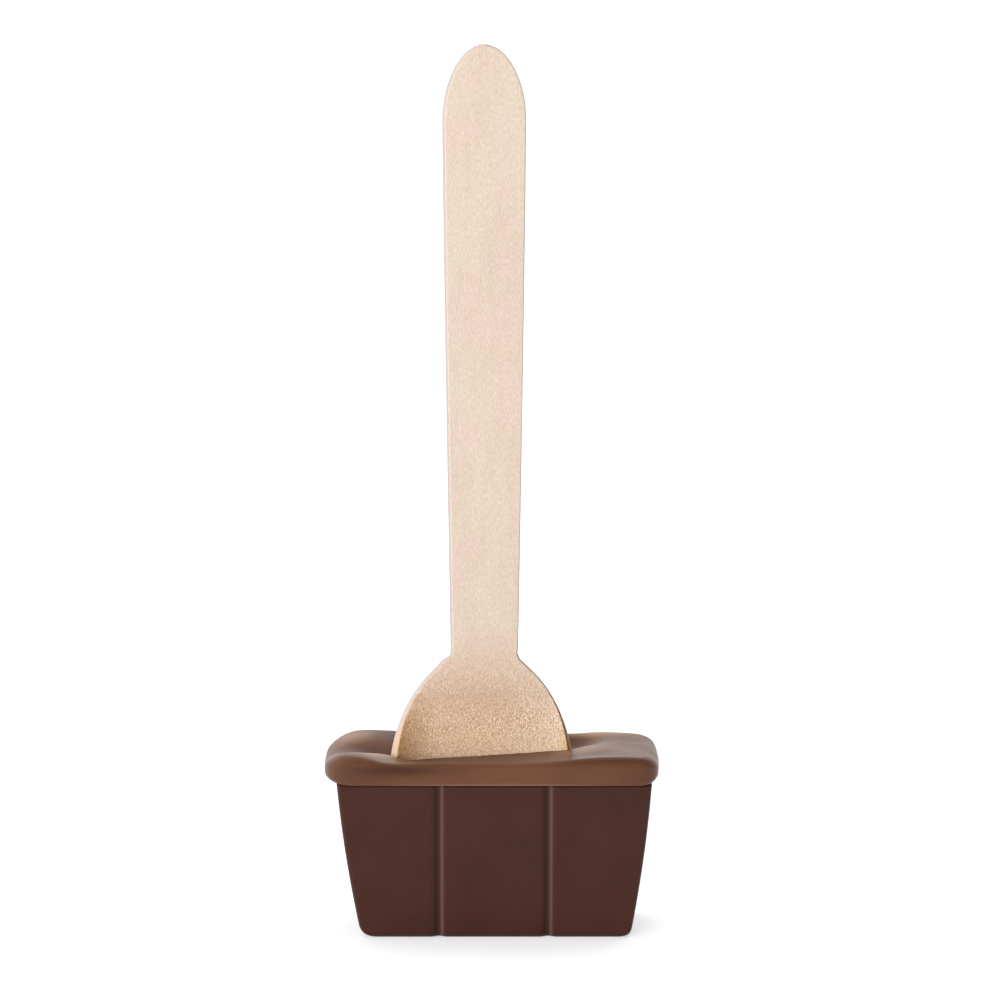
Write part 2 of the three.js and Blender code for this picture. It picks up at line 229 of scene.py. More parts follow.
class ChocolateSpoonStage(PropertyGroup):
    """Camera, light and floor."""

    distance: length_property("Camera distance", "Camera to the point that it looks at", 1.0)
    aim_height: length_property("Aim height", "Height of the point that it looks at", 80.52 * MM)
    aim_side: length_property("Aim side", "That point right of the origin", 0.05 * MM)
    elevation: angle_property("Elevation", "Camera above the horizon", 9.5)
    lens: number_property("Lens", "Focal length in millimetres", 201.84, subtype="DISTANCE_CAMERA")
    floor_size: length_property("Floor size", "Side of the square floor", 12.0)
    floor: colour_property("Floor", "Colour of the floor", (0.65, 0.65, 0.65))
    floor_glow: number_property("Floor glow", "Glow of the floor as it is seen", 0.48)
    dim_sky: number_property("Dim sky", "Strength of the light in front", 0.33)
    bright_sky: number_property("Bright sky", "Strength of the light behind", 1.15)
    key: number_property("Key", "Power of the light in front", 12.4, unit="POWER")
    back: number_property("Back light", "Power of the light high up behind", 5.5, unit="POWER")
    strip: number_property("Strip light", "Power of the light on the left", 1.8, unit="POWER")


# Meshes

def grid_triangles(rows, columns):
    """Two triangles for each cell of a grid whose last column meets its first one."""
    row, column = np.meshgrid(np.arange(rows - 1), np.arange(columns), indexing="ij")
    near = (row * columns + column).ravel()
    beside = (row * columns + (column + 1) % columns).ravel()
    far = near + columns
    far_beside = beside + columns
    return np.concatenate(
        [np.stack([near, beside, far_beside], 1), np.stack([near, far_beside, far], 1)]
    )


def weld(points, triangles):
    """Points nearer than the tolerance become one, and triangles that this flattens are dropped."""
    tolerance = 1e-7
    keys = np.round(points / tolerance) + 0.0
    unused, first, joined = np.unique(keys, axis=0, return_index=True, return_inverse=True)
    triangles = joined.reshape(-1)[triangles]
    a, b, c = triangles.T
    return first, triangles[(a != b) & (b != c) & (c != a)]


def face_outwards(points, triangles):
    """The sum of the tetrahedra from the origin is the volume: below zero means inside out."""
    a, b, c = (points[triangles[:, corner]] for corner in range(3))
    volume = np.einsum("ij,ij->", a, np.cross(b, c))
    return triangles if volume > 0 else triangles[:, ::-1]


def surface_object(name, grid, tone):
    """A closed smooth mesh from a grid of points of shape (rows, columns, 3).

    The tone, of shape (rows, columns), becomes the attribute that the piece's material reads.
    """
    rows, columns = grid.shape[:2]
    kept, triangles = weld(grid.reshape(-1, 3), grid_triangles(rows, columns))
    points = grid.reshape(-1, 3)[kept]
    triangles = face_outwards(points, triangles)
    mesh = bpy.data.meshes.new(name)
    mesh.vertices.add(len(points))
    mesh.vertices.foreach_set("co", points.astype(np.float32).ravel())
    mesh.loops.add(triangles.size)
    mesh.loops.foreach_set("vertex_index", triangles.astype(np.int32).ravel())
    mesh.polygons.add(len(triangles))
    mesh.polygons.foreach_set("loop_start", np.arange(0, triangles.size, 3, dtype=np.int32))
    mesh.polygons.foreach_set("use_smooth", np.ones(len(triangles), dtype=bool))
    mesh.update(calc_edges=True)
    if mesh.validate():
        raise RuntimeError(name + " has a broken face")
    attribute = mesh.attributes.new("tone", "FLOAT", "POINT")
    attribute.data.foreach_set("value", tone.reshape(-1)[kept].astype(np.float32))
    piece = bpy.data.objects.new(name, mesh)
    bpy.context.scene.collection.objects.link(piece)
    return piece


def carry(piece, node, material):
    """The piece rides on the one body, stands for its node and wears its material."""
    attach(piece, "root")
    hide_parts(node)
    piece.data.materials.append(material)


# Shapes

def smoothstep(value, low, high):
    """Rises from 0 at low to 1 at high as 3t^2 - 2t^3."""
    t = np.clip((value - low) / (high - low), 0, 1)
    return t * t * (3 - 2 * t)


def tangent_offset(wood):
    """Where the bowl is widest, a tangent with the shoulders' slope is this far off the middle.

    It is the square root of the half width squared plus the slope times the half length squared.
    """
    return math.hypot(wood.bowl_width / 2, math.tan(wood.shoulder) * wood.bowl_near)


def neck_station(wood):
    """Where the bowl's shoulders are as wide as the neck."""
    middle = wood.length - wood.bowl_far
    return middle - (tangent_offset(wood) - wood.neck_width / 2) / math.tan(wood.shoulder)


def bowl_half_width(wood, station):
    """An oval, carried on at its upper end by two tangents that are the bowl's straight shoulders."""
    above = wood.length - wood.bowl_far - station
    reach = np.where(above > 0, wood.bowl_near, wood.bowl_far)
    oval = wood.bowl_width / 2 * np.sqrt(np.clip(1 - (above / reach) ** 2, 0, 1))
    slope = math.tan(wood.shoulder)
    offset = tangent_offset(wood)
    return np.where(above > slope * wood.bowl_near**2 / offset, offset - slope * above, oval)


def spoon_half_width(wood, station):
    """The bowl, or a tapered strip with a half-oval end for the handle where that is wider.

    The end's oval has a power a little under 2, which makes it slightly pointed.
    """
    end_power, taper_power = 1.92, 1.25
    to_end = np.clip(1 - station / wood.handle_end, 0, 1)
    end = wood.handle_width / 2 * (1 - to_end**end_power) ** (1 / end_power)
    along = (station - wood.handle_end) / (neck_station(wood) - wood.handle_end)
    taper = (wood.handle_width - wood.neck_width) / 2 * np.clip(along, 0, 1) ** taper_power
    handle = np.where(station < wood.length - wood.bowl_far, end - taper, 0)
    return np.maximum(handle, bowl_half_width(wood, station))


def spoon_outline(wood):
    """Distances from the handle's end, close together where the outline turns."""
    end_steps, handle_steps, bowl_steps = 36, 60, 150
    middle = wood.length - wood.bowl_far
    neck = neck_station(wood)
    end_turn = np.linspace(0, math.pi / 2, end_steps, endpoint=False)
    bowl_turn = np.linspace(math.acos((middle - neck) / wood.bowl_near), math.pi, bowl_steps)
    reach = np.where(bowl_turn < math.pi / 2, wood.bowl_near, wood.bowl_far)
    return np.concatenate(
        [
            wood.handle_end * (1 - np.cos(end_turn)),
            np.linspace(wood.handle_end, neck, handle_steps, endpoint=False),
            middle - reach * np.cos(bowl_turn),
        ]
    )


def spoon_section(wood):
    """Columns round the spoon: share of the width, inset from the outline and offset from the middle.

    They go across the front, round the right edge, across the back and round the left edge.
    """
    across_steps, round_steps = 41, 6
    half = wood.thickness / 2
    flat = np.linspace(-1, 1, 2 * across_steps + 1)
    turn = np.linspace(math.pi / 2, 0, round_steps)[1:]
    inset = wood.edge_round * (1 - np.cos(turn))
    offset = half - wood.edge_round + wood.edge_round * np.sin(turn)
    rim_inset = np.concatenate([inset, inset[::-1]])
    rim_offset = np.concatenate([-offset, offset[::-1]])
    face_inset = np.full(flat.size, wood.edge_round)
    rim_share = np.ones(rim_inset.size)
    share = np.concatenate([flat, rim_share, -flat, -rim_share])
    insets = np.concatenate([face_inset, rim_inset, face_inset, rim_inset])
    offsets = np.concatenate(
        [np.full(flat.size, -half), rim_offset, np.full(flat.size, half), -rim_offset]
    )
    return share, insets, offsets


def spoon_grid(wood):
    """The middle surface runs back by hollow * (1 - |share of the half width| ^ curl).

    The hollow grows as a power of a sine from the neck to the middle of the bowl. The faces lie
    half the thickness off that surface, measured square to it, with a rounded edge all round.
    """
    curl = 2.5
    station = spoon_outline(wood)
    half = spoon_half_width(wood, station)
    mirrored_station = np.concatenate([station[1:2], station, station[-2:-1]])
    mirrored_half = np.concatenate([-half[1:2], half, -half[-2:-1]])
    along = mirrored_station[2:] - mirrored_station[:-2]
    out = mirrored_half[2:] - mirrored_half[:-2]
    size = np.hypot(along, out)
    share, inset, offset = spoon_section(wood)
    stations = station[:, None] + (out / size)[:, None] * inset
    across = share * (half[:, None] - (along / size)[:, None] * inset)
    neck = neck_station(wood)
    rise = np.clip((stations - neck) / (wood.length - neck), 0, 1)
    hollow = wood.hollow * np.sin(math.pi * rise) ** wood.hollow_power
    width = np.maximum(spoon_half_width(wood, stations), wood.edge_round)
    ratio = across / width
    back = hollow * (1 - np.minimum(np.abs(ratio), 1) ** curl)
    slope = -hollow * curl * np.sign(ratio) * np.abs(ratio) ** (curl - 1) / width
    slant = np.hypot(1, slope)
    middle = wood.length - wood.bowl_far
    lean = wood.bowl_shift + wood.bowl_lean * np.clip((middle - stations) / (middle - neck), 0, 1)
    drift = -lean * smoothstep(stations, neck - wood.bowl_shift, neck + 3 * wood.bowl_shift)
    x = across + drift - offset * slope / slant
    y = back + offset / slant
    z = wood.tip_height + wood.length - stations
    cosine, sine = math.cos(wood.turn), math.sin(wood.turn)
    return np.stack(
        [x * cosine - y * sine - wood.side_offset, x * sine + y * cosine - wood.front_offset, z], -1
    )


def spoon_tone(wood, grid):
    """The cut edge on the left is 1, and painted shade on the rim at the front's right is -1.

    Both fade out over a share of the edge's radius. The rim is strongest on the shoulders, weaker
    down the bowl and weakest on the handle.
    """
    cut_fade, rim_fade = (0, 1 / 3), (1 / 4, 3 / 4)
    rim_heights, rim_amounts = np.array([34, 44, 51, 53]) * MM, (0.8, 1.7, 1.7, 0.42)
    share, inset, offset = spoon_section(wood)
    worn = inset / wood.edge_round
    in_front = offset < 0
    cut = (share == -1) * np.where(in_front, np.interp(worn, cut_fade, (1, 0)), 1)
    # Painted shade along the front's right rim
    rim = (share == 1) * in_front * np.interp(worn, rim_fade, (1, 0))
    return cut - np.clip(rim * np.interp(grid[..., 2], rim_heights, rim_amounts), 0, 1)


def travelling_circle(corner_steps, front_steps, side_steps):
    """Columns round a rounded rectangle: where the corner's circle stands, as -1 to 1, and its angle.

    A point is the circle's centre plus its radius times the outward direction. Along a straight
    side the centre moves and the angle stays, and round a corner the angle moves.
    """
    starts = ((-1, -1), (1, -1), (1, 1), (-1, 1))
    across, along, angle = [], [], []
    for index, (from_x, from_y) in enumerate(starts):
        to_x, to_y = starts[(index + 1) % len(starts)]
        side = front_steps if from_y == to_y else side_steps
        corner_angle = math.pi / 2 * (index - 1)
        straight = np.linspace(0, 1, side, endpoint=False)
        across.append(from_x + (to_x - from_x) * straight)
        along.append(from_y + (to_y - from_y) * straight)
        angle.append(np.full(side, corner_angle))
        across.append(np.full(corner_steps, to_x, dtype=float))
        along.append(np.full(corner_steps, to_y, dtype=float))
        angle.append(corner_angle + np.linspace(0, math.pi / 2, corner_steps, endpoint=False))
    return np.concatenate(across), np.concatenate(along), np.concatenate(angle)


def block_rows(block):
    """Heights of the block's rows, closest at the round foot."""
    foot_steps, side_steps = 22, 40
    foot = block.left_foot * (np.arange(foot_steps) / foot_steps) ** 2
    return np.concatenate([foot, np.linspace(block.left_foot, block.height, side_steps)])


def block_side(block, side, foot, height):
    """Where the left side, -1, or the right side, 1, stands at a height.

    A drafted line that bows out as a parabola, above a foot that is a quadratic curve.
    """
    base = side * block.base_width / 2 + block.base_shift
    lean = (side * block.top_width / 2 - base) / block.height
    spare_top = block.height + block.edge_round
    down = np.clip((spare_top - height) / (spare_top - foot), 0, 1)
    wall = base + lean * height + side * 4 * block.side_bulge * down * (1 - down)
    t = 1 - np.sqrt(np.clip(height / foot, 0, 1))
    corner = (1 - t) ** 2 * (base + lean * foot) + 2 * t * (1 - t) * base + t**2 * (base - side * foot)
    return np.where(height < foot, corner, wall)


def block_half_depth(block, height):
    """Straight draft from base to top, less the quarter circle of the lower edge."""
    drafted = (block.base_depth + (block.top_depth - block.base_depth) * height / block.height) / 2
    short = np.clip(block.edge_round - height, 0, block.edge_round)
    return drafted - block.edge_round + np.sqrt(block.edge_round**2 - short**2)


def block_grid(block):
    """A rounded rectangle carried up the block's height, with score lines pressed in.

    A score line's depth falls off as exp(-|distance / reach| ^ brow). The first and the last rows
    shrink to the middle, which closes the base and the top.
    """
    score_brow, cap_steps, square_on = 2.2, 4, 1 - 1e-9
    across, along, angle = travelling_circle(corner_steps=10, front_steps=330, side_steps=60)
    radius = block.edge_round
    height = block_rows(block)
    left = block_side(block, -1, block.left_foot, height)[:, None]
    right = block_side(block, 1, block.right_foot, height)[:, None]
    half_depth = block_half_depth(block, height)[:, None]
    x = (left + right) / 2 + across * ((right - left) / 2 - radius) + radius * np.cos(angle)
    y = along * (half_depth - radius) + radius * np.sin(angle)
    beside = (np.abs(x + block.score_shift) - block.score_spacing / 2) / block.score_reach
    on_face = np.abs(np.sin(angle)) > square_on
    y = y - np.sign(along) * on_face * block.score_depth * np.exp(-np.abs(beside) ** score_brow)
    z = np.broadcast_to(height[:, None], x.shape)
    walls = np.stack([x + block.side_shift, y, z], -1)
    shrink = (np.arange(cap_steps) / cap_steps)[:, None, None]
    base = walls[0] * np.array([1, 1, 0]) * shrink
    lid = walls[-1] * np.array([1, 1, 0]) * shrink[::-1] + np.array([0, 0, block.height])
    return np.concatenate([base, walls, lid])


def block_tone(block, grid):
    """Down each score line, painted shade on the left side and a painted highlight on the right side, each
    one a narrow bell.
    """
    dark_amount = 0.8
    off_middle = 0.65 * block.score_reach
    pale_reach = 0.32 * block.score_reach
    dark_reach = 0.4 * block.score_reach
    x = grid[..., 0] - block.side_shift + block.score_shift
    tone = np.zeros(x.shape)
    for middle in (-block.score_spacing / 2, block.score_spacing / 2):
        # Painted highlight on the right wall, painted shade on the left wall
        tone += np.exp(-((x - middle - off_middle) / pale_reach) ** 2)
        tone -= dark_amount * np.exp(-((x - middle + off_middle) / dark_reach) ** 2)
    return tone


def layer_top(layer, x, y):
    """Height of the poured top above its base: the level thickness plus every swell."""
    height = np.full(np.broadcast(x, y).shape, layer.thickness)
    for swell in SWELLS:
        off_x = np.abs(x - swell.x) / swell.reach_x
        off_y = np.abs(y - swell.y) / swell.reach_y
        height += swell.height * np.exp(-(off_x**swell.brow) - off_y**swell.brow)
    return height


def layer_section(layer, shoulder, heel_reach, heel_rise):
    """Half section of the layer as inset from the edge and level above the base.

    It goes from the middle of the top over the shoulder, down the side and round the heel.
    """
    top_steps, shoulder_steps, side_steps, heel_steps, base_steps = 60, 20, 4, 20, 6
    half = layer.depth / 2
    over = np.linspace(0, math.pi / 2, shoulder_steps)
    under = np.linspace(0, math.pi / 2, heel_steps)
    inset = np.concatenate(
        [
            np.linspace(half, shoulder, top_steps, endpoint=False),
            shoulder * (1 - np.sin(over)),
            np.zeros(side_steps),
            heel_reach * (1 - np.cos(under)),
            np.linspace(heel_reach, half, base_steps + 1)[1:],
        ]
    )
    side_top = layer.thickness - shoulder
    level = np.concatenate(
        [
            np.full(top_steps, layer.thickness),
            side_top + shoulder * np.cos(over),
            np.linspace(side_top, heel_rise, side_steps + 2)[1:-1],
            heel_rise * (1 - np.sin(under)),
            np.zeros(base_steps),
        ]
    )
    return inset[:, None], level[:, None]


def layer_grid(layer):
    """Half sections for the ends, the front and the back, blended as they go round the plan outline.

    Inside the edge band a point keeps its true distance from the edge, and further in the outline
    shrinks evenly to the middle. Heights grow with the top's own height at that place. A fold is
    pressed in by its depth times a bell in X and Z, only near the front.
    """
    fold_start = 0.8
    across, along, angle = travelling_circle(corner_steps=24, front_steps=150, side_steps=60)
    corner = layer.left_corner + (layer.right_corner - layer.left_corner) * (across + 1) / 2
    edge_y = along * (layer.depth / 2 - corner) + corner * np.sin(angle)
    bow = layer.end_bow * (2 * edge_y / layer.depth) ** 2 * np.sign(across) * np.cos(angle) ** 2
    edge_x = across * (layer.width / 2 - corner) + corner * np.cos(angle) - bow
    end_inset, end_level = layer_section(layer, layer.shoulder, layer.heel_reach, layer.heel_rise)
    front_inset, front_level = layer_section(layer, layer.front_shoulder, layer.lip, layer.lip)
    back_inset, back_level = layer_section(layer, layer.back_shoulder, layer.lip, layer.lip)
    front = np.sin(angle) ** 2 * (along < 0)
    back = np.sin(angle) ** 2 * (along > 0)
    end = 1 - front - back
    inset = end_inset * end + front_inset * front + back_inset * back
    level = end_level * end + front_level * front + back_level * back
    half = layer.depth / 2
    banded = np.minimum(inset, layer.edge_band)
    shrink = 1 - (inset - banded) / (half - layer.edge_band)
    x = (edge_x - np.cos(angle) * banded) * shrink
    y = (edge_y - np.sin(angle) * banded) * shrink
    z = layer.base + level * layer_top(layer, x, y) / layer.thickness
    near_front = np.clip((-y / half - fold_start) / (1 - fold_start), 0, 1)
    for fold in FOLDS:
        off = ((x - fold.x) / fold.reach_x) ** 2 + ((z - fold.z) / fold.reach_z) ** 2
        y = y + fold.depth * near_front * np.exp(-off)
    return np.stack([x, y, z], -1)


def layer_tone(grid):
    """Painted light and shade: the sum of every patch's amount times a bell in X, Y and Z, kept between -1
    and 1.
    """
    x, y, z = np.moveaxis(grid, -1, 0)
    tone = np.zeros(x.shape)
    for patch in TONES:
        off = ((x - patch.x) / patch.reach_x) ** 2 + ((y - patch.y) / patch.reach_y) ** 2
        tone += patch.amount * np.exp(-off - ((z - patch.z) / patch.reach_z) ** 2)
    return np.clip(tone, -1, 1)


# Materials

def add_node(tree, kind, inputs=None, **settings):
    """A shader node with its settings, and each named input set or linked."""
    node = tree.nodes.new(kind)
    for key, value in settings.items():
        setattr(node, key, value)
    for key, value in (inputs or {}).items():
        if isinstance(value, bpy.types.NodeSocket):
            tree.links.new(value, node.inputs[key])
        else:
            node.inputs[key].default_value = value
    return node


def start_material(name, gloss):
    """A material with one shader, whose gloss is its specular level."""
    material = bpy.data.materials.new(name)
    material.use_nodes = True
    tree = material.node_tree
    tree.nodes.clear()
    shader = add_node(tree, "ShaderNodeBsdfPrincipled", {"Specular IOR Level": gloss})
    add_node(tree, "ShaderNodeOutputMaterial", {"Surface": shader.outputs["BSDF"]})
    return material, tree, shader


def object_place(tree, stretch=(1, 1, 1), turn=0.0):
    """Object coordinates, turned back by the spoon's turn and stretched."""
    place = add_node(tree, "ShaderNodeTexCoord").outputs["Object"]
    turned = add_node(tree, "ShaderNodeMapping", {"Vector": place, "Rotation": (0, 0, -turn)})
    stretched = add_node(tree, "ShaderNodeMapping", {"Vector": turned.outputs["Vector"], "Scale": stretch})
    return stretched.outputs["Vector"]


def noise(tree, place, scale, detail=2.0, roughness=0.5):
    """Fractal noise from 0 to 1 at that many features a metre."""
    inputs = {"Vector": place, "Scale": scale, "Detail": detail, "Roughness": roughness}
    return add_node(tree, "ShaderNodeTexNoise", inputs).outputs["Fac"]


def math_node(tree, operation, *values):
    """The result of one operation on sockets or numbers."""
    node = add_node(tree, "ShaderNodeMath", dict(enumerate(values)), operation=operation)
    return node.outputs["Value"]


def product(tree, first, second):
    """Two sockets or numbers multiplied."""
    return math_node(tree, "MULTIPLY", first, second)


def spread(tree, value, low, high, to_low=0.0, to_high=1.0):
    """Maps low to to_low and high to to_high, and holds those ends."""
    node = add_node(
        tree, "ShaderNodeMapRange",
        {"Value": value, "From Min": low, "From Max": high, "To Min": to_low, "To Max": to_high},
    )
    return node.outputs["Result"]


def mix_colours(tree, factor, first, second, blend="MIX"):
    """One colour into another by a factor."""
    node = add_node(tree, "ShaderNodeMix", data_type="RGBA", blend_type=blend)
    sockets = {socket.identifier: socket for socket in node.inputs}
    for key, value in (("Factor_Float", factor), ("A_Color", first), ("B_Color", second)):
        if isinstance(value, bpy.types.NodeSocket):
            tree.links.new(value, sockets[key])
        elif key == "Factor_Float":
            sockets[key].default_value = value
        else:
            sockets[key].default_value = (*value, 1.0)
    return next(socket for socket in node.outputs if socket.identifier == "Result_Color")


def mix_by_tone(tree, colour, above, below):
    """One colour where the piece's own tone rises to 1, and another where it falls to -1."""
    tone = add_node(tree, "ShaderNodeAttribute", attribute_name="tone").outputs["Fac"]
    colour = mix_colours(tree, spread(tree, tone, 0, 1), colour, above)
    return mix_colours(tree, spread(tree, tone, 0, -1), colour, below)


def add_bump(tree, shader, relief, strength, distance):
    """Fine relief, as deep as the distance where its height changes by 1."""
    inputs = {"Strength": strength, "Distance": distance, "Height": relief}
    bump = add_node(tree, "ShaderNodeBump", inputs)
    tree.links.new(bump.outputs["Normal"], shader.inputs["Normal"])


def handle_colour(tree, wood, streaks):
    """Long streaks from deep to pale wood, with pinker and yellower patches over them."""
    mottle = noise(tree, object_place(tree, (1, 1, 0.5), wood.turn), scale=330)
    patches = noise(tree, object_place(tree, (1, 1, 0.5), wood.turn), scale=120)
    colour = mix_colours(tree, spread(tree, streaks, 0.35, 0.65), wood.deep, wood.pale)
    colour = mix_colours(tree, spread(tree, mottle, 0.45, 0.60, 0.0, 0.75), colour, wood.blush)
    return mix_colours(tree, spread(tree, patches, 0.48, 0.62, 0.0, 0.8), colour, wood.cream)


def bowl_colour(tree, wood, colour, side, height, neck, pressed):
    """Warm below the neck, painted light where it is pressed, painted light and shade on the right,
    painted shade on the left, amber at the right foot.
    """
    colour = mix_colours(tree, neck, colour, wood.warm)
    # Painted light on the pressed part, against the shade near the chocolate
    colour = mix_colours(tree, pressed, colour, wood.bowl_painted_light)
    # Painted light on the bowl's right side, which faces the lamp: lighter above the pressed part, a
    # little darker in it
    right = product(tree, spread(tree, side, 0, 10 * MM), neck)
    right_painted_light_and_shade = mix_colours(tree, pressed, (1.08, 1.15, 1.22), (0.89, 0.96, 1.01))
    colour = mix_colours(tree, right, colour, right_painted_light_and_shade, "MULTIPLY")
    # Painted shade on the bowl's left side, which faces away from the light
    far_left = spread(tree, side, -10 * MM, -17.5 * MM)
    left_painted_shade = product(tree, far_left, spread(tree, height, 45 * MM, 39 * MM))
    colour = mix_colours(tree, left_painted_shade, colour, wood.left_painted_shade)
    far_right = spread(tree, side, 11.8 * MM, 14.5 * MM, 0.0, 0.8)
    foot = product(tree, far_right, spread(tree, height, 40 * MM, 34 * MM))
    return mix_colours(tree, foot, colour, wood.amber)


def grain_colour(tree, colour, height, neck, fibres, stipple):
    """Fine fibres on the handle, and in the bowl a stronger stipple with dark pores and pale flecks."""
    fibre_tint = mix_colours(
        tree, spread(tree, fibres, 0.3, 0.7), (0.87, 0.85, 0.82), (1.09, 1.10, 1.12)
    )
    stipple_tint = mix_colours(
        tree, spread(tree, stipple, 0.3, 0.7), (0.78, 0.70, 0.58), (1.18, 1.24, 1.32)
    )
    grain_tint = mix_colours(tree, neck, fibre_tint, stipple_tint)
    colour = mix_colours(tree, 1.0, colour, grain_tint, "MULTIPLY")
    in_bowl = spread(tree, height, 42.5 * MM, 38 * MM)
    less_at_foot = spread(tree, height, 33.5 * MM, 37.5 * MM, 0.25, 1.0)
    stippled = product(tree, in_bowl, less_at_foot)
    pores = product(tree, spread(tree, stipple, 0.46, 0.34), stippled)
    colour = mix_colours(tree, pores, colour, (0.85, 0.80, 0.72), "MULTIPLY")
    flecks = product(tree, spread(tree, stipple, 0.54, 0.66), stippled)
    return mix_colours(tree, flecks, colour, (1.12, 1.15, 1.20), "MULTIPLY")


def edge_colour(tree, wood, colour, height):
    """The cut edge on the left, which changes down the spoon, and painted shade on the rim on the right.
    """
    shoulder = spread(tree, height, 49 * MM, 41 * MM)
    bowl = spread(tree, height, 39.5 * MM, 35 * MM)
    cut = mix_colours(tree, shoulder, wood.cut, wood.shoulder_cut)
    cut = mix_colours(tree, bowl, cut, wood.bowl_cut)
    # Below zero the tone brings in the painted shade of the right rim
    return mix_by_tone(tree, colour, cut, wood.rim)


def birch_material(wood):
    """Bare birch: short fibres and a faint mottle, and a warmer, stippled pressed bowl."""
    material, tree, shader = start_material("bare_birch", gloss=0.25)
    place = add_node(tree, "ShaderNodeSeparateXYZ", {"Vector": object_place(tree)}).outputs
    side, height = place["X"], place["Z"]
    neck = spread(tree, height, 56 * MM, 42 * MM)
    pressed = spread(tree, height, 43 * MM, 35 * MM)
    fibres = noise(tree, object_place(tree, (1, 1, 0.3), wood.turn), scale=4600, roughness=0.6)
    streaks = noise(tree, object_place(tree, (1, 1, 0.1), wood.turn), scale=700, detail=3)
    stipple = noise(tree, object_place(tree, (1, 1, 0.45), wood.turn), scale=5200, detail=1)
    colour = handle_colour(tree, wood, streaks)
    colour = bowl_colour(tree, wood, colour, side, height, neck, pressed)
    colour = grain_colour(tree, colour, height, neck, fibres, stipple)
    colour = edge_colour(tree, wood, colour, height)
    tree.links.new(colour, shader.inputs["Base Color"])
    tree.links.new(spread(tree, streaks, 0.3, 0.7, 0.72, 0.58), shader.inputs["Roughness"])
    bowl_relief = product(tree, stipple, spread(tree, neck, 0, 1, 0.0, 0.5))
    relief = math_node(tree, "ADD", product(tree, fibres, 0.25), bowl_relief)
    add_bump(tree, shader, relief, strength=1.0, distance=0.3 * MM)
    return material


def chocolate_material(name, colours, gloss, low_roughness, high_roughness):
    """Set chocolate: faint clouding, painted highlights and painted shade from the tone, an uneven satin
    and the softest ripple.
    """
    material, tree, shader = start_material(name, gloss)
    place = object_place(tree)
    cloud = noise(tree, place, scale=95, detail=4, roughness=0.55)
    colour = mix_colours(tree, spread(tree, cloud, 0.35, 0.65), colours.deep, colours.pale)
    # Painted highlights where the tone rises, painted shade where it falls
    colour = mix_by_tone(tree, colour, colours.painted_highlight, colours.shaded)
    tree.links.new(colour, shader.inputs["Base Color"])
    patches = noise(tree, place, scale=260, detail=3)
    satin = spread(tree, patches, 0.3, 0.7, low_roughness, high_roughness)
    tree.links.new(satin, shader.inputs["Roughness"])
    fine_ripple = product(tree, noise(tree, place, scale=2600), 0.06)
    ripple = math_node(tree, "ADD", noise(tree, place, scale=210), fine_ripple)
    add_bump(tree, shader, ripple, strength=0.25, distance=0.2 * MM)
    return material


def floor_material(colour, glow):
    """A pale matt floor with the faintest change of tone.

    Its glow is seen but lights nothing matt. It grows with the distance, to make up for the lamps'
    falling off.
    """
    near, far, growth, deepest = 1.0, 3.0, 0.12, 0.985
    material, tree, shader = start_material("pale_floor", gloss=0.1)
    shader.inputs["Roughness"].default_value = 0.9
    shader.inputs["Emission Color"].default_value = (1, 1, 1, 1)
    place = object_place(tree)
    matt_ray = add_node(tree, "ShaderNodeLightPath").outputs["Is Diffuse Ray"]
    seen = math_node(tree, "SUBTRACT", 1.0, matt_ray)
    away = add_node(tree, "ShaderNodeVectorMath", {0: place}, operation="LENGTH").outputs["Value"]
    shown = product(tree, seen, spread(tree, away, near, far, glow, glow + growth))
    tree.links.new(shown, shader.inputs["Emission Strength"])
    darker = [deepest * channel for channel in colour]
    tone = mix_colours(tree, noise(tree, place, scale=2), darker, colour)
    tree.links.new(tone, shader.inputs["Base Color"])
    return material


# Operators

class OBJECT_OT_chocolate_spoon_wood(Operator):
    """Make the pressed birch spoon"""

    bl_idname = "object.chocolate_spoon_wood"
    bl_label = "Wooden spoon"

    def execute(self, context):
        wood = context.scene.chocolate_spoon_wood
        grid = spoon_grid(wood)
        piece = surface_object("birch_spoon", grid, spoon_tone(wood, grid))
        carry(piece, "wooden_spoon", birch_material(wood))
        return {"FINISHED"}


class OBJECT_OT_chocolate_spoon_block(Operator):
    """Make the moulded block of dark chocolate"""

    bl_idname = "object.chocolate_spoon_block"
    bl_label = "Dark block"

    def execute(self, context):
        block = context.scene.chocolate_spoon_block
        grid = block_grid(block)
        piece = surface_object("dark_block", grid, block_tone(block, grid))
        material = chocolate_material(
            "dark_chocolate", block, gloss=0.18, low_roughness=0.30, high_roughness=0.38
        )
        carry(piece, "chocolate_block", material)
        return {"FINISHED"}


class OBJECT_OT_chocolate_spoon_layer(Operator):
    """Make the poured layer of lighter chocolate"""

    bl_idname = "object.chocolate_spoon_layer"
    bl_label = "Poured layer"

    def execute(self, context):
        layer = context.scene.chocolate_spoon_layer
        grid = layer_grid(layer)
        piece = surface_object("poured_layer", grid, layer_tone(grid))
        material = chocolate_material(
            "milk_chocolate", layer, gloss=0.25, low_roughness=0.32, high_roughness=0.40
        )
        carry(piece, "chocolate_top_layer", material)
        return {"FINISHED"}


class SCENE_OT_chocolate_spoon_stage(Operator):
    """Make the floor, the soft light and the camera"""

    bl_idname = "scene.chocolate_spoon_stage"
    bl_label = "Stage"

    def execute(self, context):
        stage = context.scene.chocolate_spoon_stage
        make_floor(stage)
        make_light(stage)
        make_camera(stage)
        return {"FINISHED"}


def make_floor(stage):
    """One flat square under the block."""
    half = stage.floor_size / 2
    corners = [(-half, -half, 0), (half, -half, 0), (half, half, 0), (-half, half, 0)]
    mesh = bpy.data.meshes.new("floor")
    mesh.from_pydata(corners, [], [(0, 1, 2, 3)])
    floor = bpy.data.objects.new("floor", mesh)
    bpy.context.scene.collection.objects.link(floor)
    mesh.materials.append(floor_material(stage.floor, stage.floor_glow))


